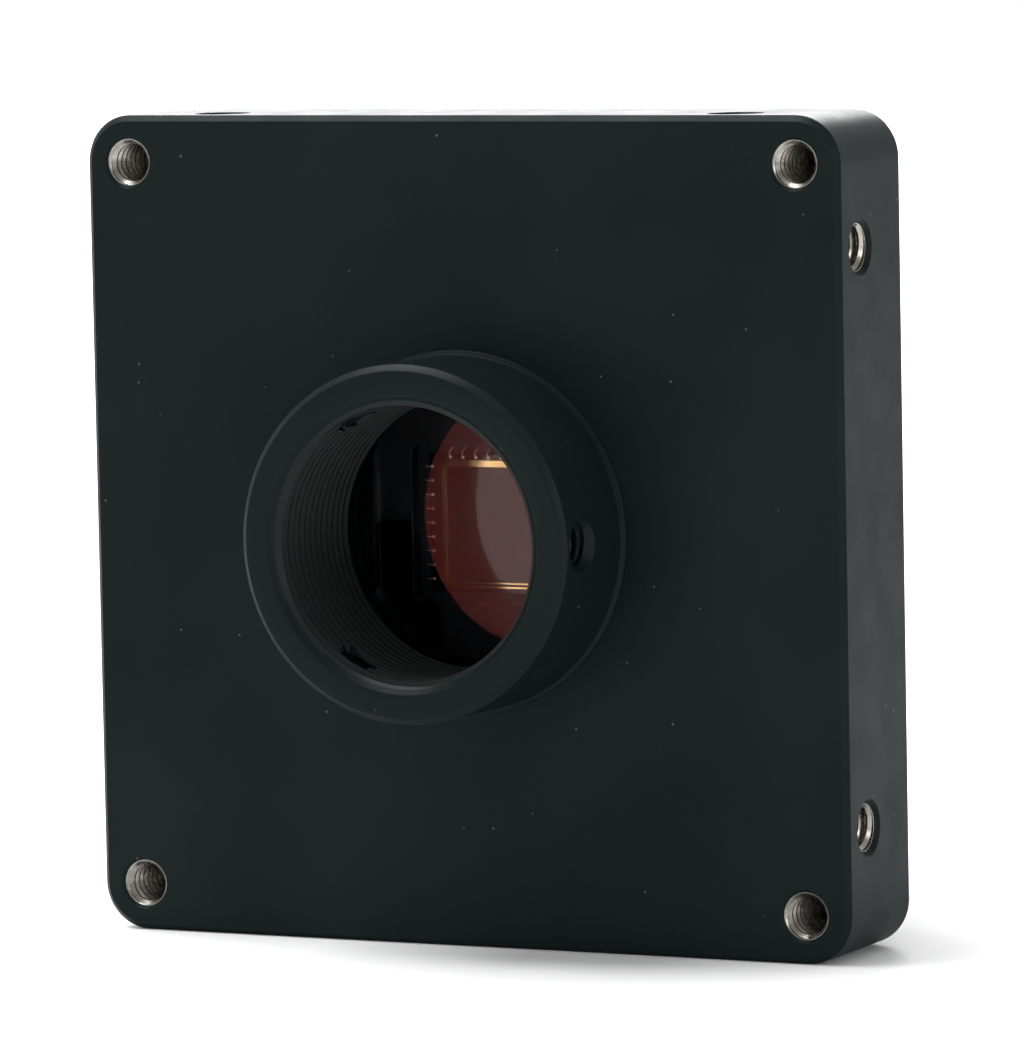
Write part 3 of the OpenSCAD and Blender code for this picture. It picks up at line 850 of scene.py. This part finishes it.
def fan_blade(bm, angle, root_r, tip_r, front, back):
    """Curved blade that thins towards its tip and flattens as it goes out.

    Each value named at_root shrinks by its own loss on the way to the tip. Angles are in radians.
    """
    spans, chords = 10, 10
    wide_at_root, wide_loss, swept = 0.62, 0.12, 0.16
    rise_at_root, rise_loss, camber = 0.9, 0.12, 0.1
    half_t_at_root, t_loss = 0.22, 0.45
    grid = []
    for face in (1, -1):
        rows = []
        for i in range(spans + 1):
            u = i / spans
            r = root_r + (tip_r - root_r) * u
            row = []
            for k in range(chords + 1):
                v = k / chords
                sweep = angle + swept * u * u + (v - 0.5) * (wide_at_root - wide_loss * u)
                rise = (0.5 - v) + camber * math.sin(math.pi * v)
                z = (front + back) / 2 + rise * (front - back) * (rise_at_root - rise_loss * u)
                half_t = half_t_at_root * (1 - t_loss * u)
                z += face * half_t * math.sqrt(max(0.0, 1 - (2 * v - 1) ** 2))
                row.append(bm.verts.new((r * math.cos(sweep), r * math.sin(sweep), z)))
            rows.append(row)
        grid.append(rows)
    top, under = grid
    for rows in grid:
        for i in range(spans):
            for k in range(chords):
                bm.faces.new([rows[i][k], rows[i][k + 1], rows[i + 1][k + 1], rows[i + 1][k]])
    for i in (0, spans):
        for k in range(chords):
            bm.faces.new([top[i][k], top[i][k + 1], under[i][k + 1], under[i][k]])
    for k in (0, chords):
        for i in range(spans):
            bm.faces.new([top[i][k], top[i + 1][k], under[i + 1][k], under[i][k]])


def fan_impeller():
    """Hollow hub with a shallow dish in its end, and a ring of blades."""
    lo, hi = node_box("fan_impeller")
    back, front = lo.z, hi.z
    hub_r, hub_wall, hub_floor, hub_edge = 4.4, 0.4, back + 0.8, 0.3
    dish_r, dish_side, dish_floor = 2.6, 0.1, back + 0.06
    tip_r, inset = 8.98, 0.15
    bm = bmesh.new()
    outline = rounded([
        (0, dish_floor), (dish_r, dish_floor), (dish_r + dish_side, back), (hub_r, back), (hub_r, front),
    ], hub_edge, 5)
    inside_r = hub_r - hub_wall
    revolve(bm, outline + [(inside_r, front), (inside_r, hub_floor), (0, hub_floor)], 96)
    for i in range(BLADE_COUNT):
        fan_blade(bm, TAU * i / BLADE_COUNT, hub_r - inset, tip_r, front - inset, back + inset)
    weld(bm)
    piece("fan_impeller_bladed", bm, "black_plastic", body="fan_rotor",
          stands_for=["fan_impeller"], smooth=40, even=True)


CONTACT_COUNT = 12
CONTACT_PITCH = 0.5


def socket_contacts():
    """Gold strips on both faces of the data socket's tongue."""
    lo, hi = node_box("usb_tongue")
    near_end, far_end = lo.x + 0.25, lo.x + 3.4
    half_w, contact_t = 0.12, 0.02
    bm = bmesh.new()
    for i in range(CONTACT_COUNT):
        y = (i - (CONTACT_COUNT - 1) / 2) * CONTACT_PITCH
        for z0, z1 in ((hi.z, hi.z + contact_t), (lo.z - contact_t, lo.z)):
            slab(bm, (near_end, y - half_w, z0), (far_end, y + half_w, z1))
    piece("socket_contacts", bm, "gold")


# ---- build ----

lens_ring()
for name, angle in LOCK_ANGLES.items():
    lock_screw(name, angle)
corner_threads()
side_threads()
filter_disc()
sensor_lid()
sensor_package()
sensor_die()
bond_wires()
cap_screws("fan_screws", "bright_steel", 8, 8, head_h=0.9)
cap_screws("sink_screws", "bright_steel", 6.5, 11.7, head_h=0.9)
cap_screws("cover_screws", "black_steel", 12.9, 12.9, head_h=1.5)
fan_impeller()
fan_frame()
heat_sink()
socket_contacts()


# ---- floor and lights, in metres, and camera ----

FLOOR_R = 0.75
FLOOR_BACK = 0.1
FLOOR_GAP = 0.00002


def stage_floor():
    """Plain pale disc just under the camera head."""
    bm = bmesh.new()
    bmesh.ops.create_circle(bm, cap_ends=True, segments=128, radius=FLOOR_R)
    mesh = bpy.data.meshes.new("stage_floor")
    bm.to_mesh(mesh)
    bm.free()
    floor = bpy.data.objects.new("stage_floor", mesh)
    floor.location = (0, FLOOR_BACK, cad_box[0].z - FLOOR_GAP)
    bpy.context.scene.collection.objects.link(floor)
    look = Look("stage_floor", (0.9, 0.9, 0.9), 0.7, level=0.2)
    look.mottle(0.01, (0.88, 0.88, 0.885))
    floor.data.materials.append(look.mat)


BACKDROP = Vector((-0.8, 0.6, 0.1)).normalized()
WORLD_DARK = 0.4
WORLD_BRIGHT = 1.2


def stage_world():
    """Soft white surroundings, brightest behind the camera head and dimmer in front of it."""
    world = bpy.data.worlds.new("studio")
    bpy.context.scene.world = world
    world.use_nodes = True
    tree = world.node_tree
    background = tree.nodes["Background"]
    background.inputs["Color"].default_value = (1, 1, 1, 1)
    coords = tree.nodes.new("ShaderNodeTexCoord")
    facing = tree.nodes.new("ShaderNodeVectorMath")
    facing.operation = "DOT_PRODUCT"
    facing.inputs[1].default_value = BACKDROP
    tree.links.new(coords.outputs["Generated"], facing.inputs[0])
    level = tree.nodes.new("ShaderNodeMapRange")
    level.interpolation_type = "SMOOTHSTEP"
    facing_away, nearly_facing = -1, 0.9
    set_range(level, facing_away, nearly_facing, WORLD_DARK, WORLD_BRIGHT)
    tree.links.new(facing.outputs["Value"], level.inputs["Value"])
    tree.links.new(level.outputs["Result"], background.inputs["Strength"])


def soft_light(name, place, size, power):
    """Square lamp that faces the origin."""
    data = bpy.data.lights.new(name, "AREA")
    data.shape, data.size, data.energy = "SQUARE", size, power
    lamp = bpy.data.objects.new(name, data)
    lamp.location = place
    lamp.rotation_mode = "QUATERNION"
    lamp.rotation_quaternion = (-Vector(place)).to_track_quat("-Z", "Y")
    bpy.context.scene.collection.objects.link(lamp)


# Angles in degrees, lengths in millimetres
CAMERA_AZIMUTH = 26.42
CAMERA_ELEVATION = 5.416
CAMERA_DISTANCE = 312.68
CAMERA_AIM = Vector((2.4, 0, 0.42))
CAMERA_ROLL = -1.1
CAMERA_LENS = 256


def stage_camera():
    """Camera that looks at the front from its right, a little from above."""
    a, e = math.radians(CAMERA_AZIMUTH), math.radians(CAMERA_ELEVATION)
    back = Vector((math.sin(a) * math.cos(e), -math.cos(a) * math.cos(e), math.sin(e)))
    data = bpy.data.cameras.new("camera")
    data.lens, data.sensor_width = CAMERA_LENS, 36
    data.clip_start, data.clip_end = 0.01, 10
    camera = bpy.data.objects.new("camera", data)
    camera.location = back * CAMERA_DISTANCE * MM
    look = (CAMERA_AIM * MM - camera.location).to_track_quat("-Z", "Y").to_matrix()
    camera.rotation_euler = (look @ Matrix.Rotation(math.radians(CAMERA_ROLL), 3, "Z")).to_euler()
    bpy.context.scene.collection.objects.link(camera)
    bpy.context.scene.camera = camera


stage_floor()
stage_world()
soft_light("back_light", (-0.35, 0.75, 0.42), 0.5, 6.5)
soft_light("top_light", (-0.22, -0.02, 0.58), 0.35, 4.2)
soft_light("side_light", (0.55, -0.16, 0.16), 0.25, 0.8)
stage_camera()
bpy.context.scene.view_settings.view_transform = "Standard"
